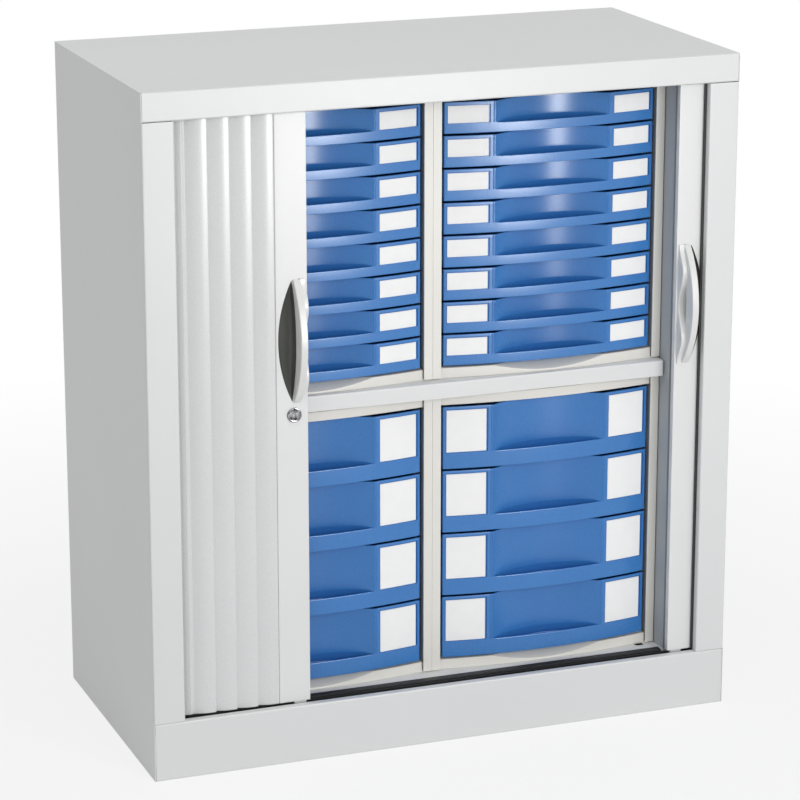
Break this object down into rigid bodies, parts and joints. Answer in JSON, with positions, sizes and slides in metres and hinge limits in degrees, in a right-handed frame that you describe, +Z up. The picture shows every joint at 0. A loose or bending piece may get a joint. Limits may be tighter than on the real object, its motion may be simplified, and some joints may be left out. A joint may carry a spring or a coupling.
{
  "type": "roll front tool cabinet",
  "caption": "Free-standing steel cabinet with two sliding roll-front doors over columns of shallow and deep plastic drawers in four housings on either side of a mid shelf.",
  "frame": {"origin": "on the floor, in the middle of the outline of the whole object, handles included", "axes": "+Z up, -Y towards the front with the doors, +X to the right seen from the front"},
  "size_m": [0.914, 0.478, 1.016],
  "materials": {
    "carcass_steel": "light grey fine-textured powder coat",
    "liner_steel": "satin grey paint",
    "housing_shell": "satin warm off-white",
    "drawer_plastic": "smooth blue, soft gloss",
    "slat_plastic": "satin light grey",
    "handle_plastic": "satin light grey",
    "cup_plastic": "dark grey",
    "track_plastic": "black, slippery",
    "lock_metal": "polished",
    "steel_fittings": "zinc plated"
  },
  "bodies": {
    "carcass": {"top_panel": "carcass_steel", "left_side_panel": "carcass_steel", "right_side_panel": "carcass_steel", "back_panel": "carcass_steel", "plinth": "carcass_steel", "base_panel": "carcass_steel", "floor_plate": "carcass_steel", "ceiling_plate": "carcass_steel", "left_liner": "liner_steel", "right_liner": "liner_steel", "mid_shelf": "carcass_steel", "shelf_clips": "steel_fittings", "levelling_feet": "steel_fittings", "bottom_track": "track_plastic", "top_track": "track_plastic", "lower_left_housing": "housing_shell", "lower_right_housing": "housing_shell", "upper_left_housing": "housing_shell", "upper_right_housing": "housing_shell"},
    "left_door": {"left_lead_lath": "slat_plastic", "left_handle": "handle_plastic", "left_handle_cup": "cup_plastic", "left_handle_screws": "steel_fittings", "lock_bezel": "lock_metal", "left_front_slats": "slat_plastic"},
    "lock": {"lock_barrel": "lock_metal", "lock_cam": "lock_metal"},
    "left_door_tail": {"left_side_slats": "slat_plastic", "left_tail_slat": "slat_plastic"},
    "right_door": {"right_lead_lath": "slat_plastic", "right_handle": "handle_plastic", "right_handle_cup": "cup_plastic", "right_handle_screws": "steel_fittings"},
    "right_door_tail": {"right_side_slats": "slat_plastic", "right_tail_slat": "slat_plastic"},
    "lower_left_drawer_1": {"lower_left_drawer_1": "drawer_plastic"},
    "lower_left_drawer_2": {"lower_left_drawer_2": "drawer_plastic"},
    "lower_left_drawer_3": {"lower_left_drawer_3": "drawer_plastic"},
    "lower_left_drawer_4": {"lower_left_drawer_4": "drawer_plastic"},
    "lower_right_drawer_1": {"lower_right_drawer_1": "drawer_plastic"},
    "lower_right_drawer_2": {"lower_right_drawer_2": "drawer_plastic"},
    "lower_right_drawer_3": {"lower_right_drawer_3": "drawer_plastic"},
    "lower_right_drawer_4": {"lower_right_drawer_4": "drawer_plastic"},
    "upper_left_drawer_1": {"upper_left_drawer_1": "drawer_plastic"},
    "upper_left_drawer_2": {"upper_left_drawer_2": "drawer_plastic"},
    "upper_left_drawer_3": {"upper_left_drawer_3": "drawer_plastic"},
    "upper_left_drawer_4": {"upper_left_drawer_4": "drawer_plastic"},
    "upper_left_drawer_5": {"upper_left_drawer_5": "drawer_plastic"},
    "upper_left_drawer_6": {"upper_left_drawer_6": "drawer_plastic"},
    "upper_left_drawer_7": {"upper_left_drawer_7": "drawer_plastic"},
    "upper_left_drawer_8": {"upper_left_drawer_8": "drawer_plastic"},
    "upper_right_drawer_1": {"upper_right_drawer_1": "drawer_plastic"},
    "upper_right_drawer_2": {"upper_right_drawer_2": "drawer_plastic"},
    "upper_right_drawer_3": {"upper_right_drawer_3": "drawer_plastic"},
    "upper_right_drawer_4": {"upper_right_drawer_4": "drawer_plastic"},
    "upper_right_drawer_5": {"upper_right_drawer_5": "drawer_plastic"},
    "upper_right_drawer_6": {"upper_right_drawer_6": "drawer_plastic"},
    "upper_right_drawer_7": {"upper_right_drawer_7": "drawer_plastic"},
    "upper_right_drawer_8": {"upper_right_drawer_8": "drawer_plastic"}
  },
  "joints": [
    {"name": "left_door_slide", "type": "slide", "parent": "carcass", "child": "left_door", "axis": [-1, 0, 0], "range_m": [-0.2115, 0.157], "deforming": ["left_front_slats"]},
    {"name": "left_tail_slide", "type": "slide", "parent": "carcass", "child": "left_door_tail", "axis": [0, 1, 0], "range_m": [-0.2115, 0.157], "deforming": ["left_side_slats"]},
    {"name": "right_door_slide", "type": "slide", "parent": "carcass", "child": "right_door", "axis": [1, 0, 0], "range_m": [-0.3685, 0]},
    {"name": "right_tail_slide", "type": "slide", "parent": "carcass", "child": "right_door_tail", "axis": [0, 1, 0], "range_m": [-0.3685, 0], "deforming": ["right_side_slats"]},
    {"name": "lock_turn", "type": "hinge", "parent": "left_door", "child": "lock", "pos_m": [-0.2334, -0.1975, 0.5299], "axis": [0, -1, 0], "range_deg": [0, 90]},
    {"name": "lower_left_drawer_1_slide", "type": "slide", "parent": "carcass", "child": "lower_left_drawer_1", "axis": [0, -1, 0], "range_m": [0, 0.02]},
    {"name": "lower_left_drawer_2_slide", "type": "slide", "parent": "carcass", "child": "lower_left_drawer_2", "axis": [0, -1, 0], "range_m": [0, 0.02]},
    {"name": "lower_left_drawer_3_slide", "type": "slide", "parent": "carcass", "child": "lower_left_drawer_3", "axis": [0, -1, 0], "range_m": [0, 0.02]},
    {"name": "lower_left_drawer_4_slide", "type": "slide", "parent": "carcass", "child": "lower_left_drawer_4", "axis": [0, -1, 0], "range_m": [0, 0.02]},
    {"name": "lower_right_drawer_1_slide", "type": "slide", "parent": "carcass", "child": "lower_right_drawer_1", "axis": [0, -1, 0], "range_m": [0, 0.29]},
    {"name": "lower_right_drawer_2_slide", "type": "slide", "parent": "carcass", "child": "lower_right_drawer_2", "axis": [0, -1, 0], "range_m": [0, 0.29]},
    {"name": "lower_right_drawer_3_slide", "type": "slide", "parent": "carcass", "child": "lower_right_drawer_3", "axis": [0, -1, 0], "range_m": [0, 0.29]},
    {"name": "lower_right_drawer_4_slide", "type": "slide", "parent": "carcass", "child": "lower_right_drawer_4", "axis": [0, -1, 0], "range_m": [0, 0.29]},
    {"name": "upper_left_drawer_1_slide", "type": "slide", "parent": "carcass", "child": "upper_left_drawer_1", "axis": [0, -1, 0], "range_m": [0, 0.02]},
    {"name": "upper_left_drawer_2_slide", "type": "slide", "parent": "carcass", "child": "upper_left_drawer_2", "axis": [0, -1, 0], "range_m": [0, 0.02]},
    {"name": "upper_left_drawer_3_slide", "type": "slide", "parent": "carcass", "child": "upper_left_drawer_3", "axis": [0, -1, 0], "range_m": [0, 0.02]},
    {"name": "upper_left_drawer_4_slide", "type": "slide", "parent": "carcass", "child": "upper_left_drawer_4", "axis": [0, -1, 0], "range_m": [0, 0.02]},
    {"name": "upper_left_drawer_5_slide", "type": "slide", "parent": "carcass", "child": "upper_left_drawer_5", "axis": [0, -1, 0], "range_m": [0, 0.02]},
    {"name": "upper_left_drawer_6_slide", "type": "slide", "parent": "carcass", "child": "upper_left_drawer_6", "axis": [0, -1, 0], "range_m": [0, 0.02]},
    {"name": "upper_left_drawer_7_slide", "type": "slide", "parent": "carcass", "child": "upper_left_drawer_7", "axis": [0, -1, 0], "range_m": [0, 0.02]},
    {"name": "upper_left_drawer_8_slide", "type": "slide", "parent": "carcass", "child": "upper_left_drawer_8", "axis": [0, -1, 0], "range_m": [0, 0.02]},
    {"name": "upper_right_drawer_1_slide", "type": "slide", "parent": "carcass", "child": "upper_right_drawer_1", "axis": [0, -1, 0], "range_m": [0, 0.29]},
    {"name": "upper_right_drawer_2_slide", "type": "slide", "parent": "carcass", "child": "upper_right_drawer_2", "axis": [0, -1, 0], "range_m": [0, 0.29]},
    {"name": "upper_right_drawer_3_slide", "type": "slide", "parent": "carcass", "child": "upper_right_drawer_3", "axis": [0, -1, 0], "range_m": [0, 0.29]},
    {"name": "upper_right_drawer_4_slide", "type": "slide", "parent": "carcass", "child": "upper_right_drawer_4", "axis": [0, -1, 0], "range_m": [0, 0.29]},
    {"name": "upper_right_drawer_5_slide", "type": "slide", "parent": "carcass", "child": "upper_right_drawer_5", "axis": [0, -1, 0], "range_m": [0, 0.29]},
    {"name": "upper_right_drawer_6_slide", "type": "slide", "parent": "carcass", "child": "upper_right_drawer_6", "axis": [0, -1, 0], "range_m": [0, 0.29]},
    {"name": "upper_right_drawer_7_slide", "type": "slide", "parent": "carcass", "child": "upper_right_drawer_7", "axis": [0, -1, 0], "range_m": [0, 0.29]},
    {"name": "upper_right_drawer_8_slide", "type": "slide", "parent": "carcass", "child": "upper_right_drawer_8", "axis": [0, -1, 0], "range_m": [0, 0.29]}
  ],
  "couplings": [
    {"joint": "left_tail_slide", "follows": "left_door_slide", "ratio": 1},
    {"joint": "right_tail_slide", "follows": "right_door_slide", "ratio": 1}
  ]
}
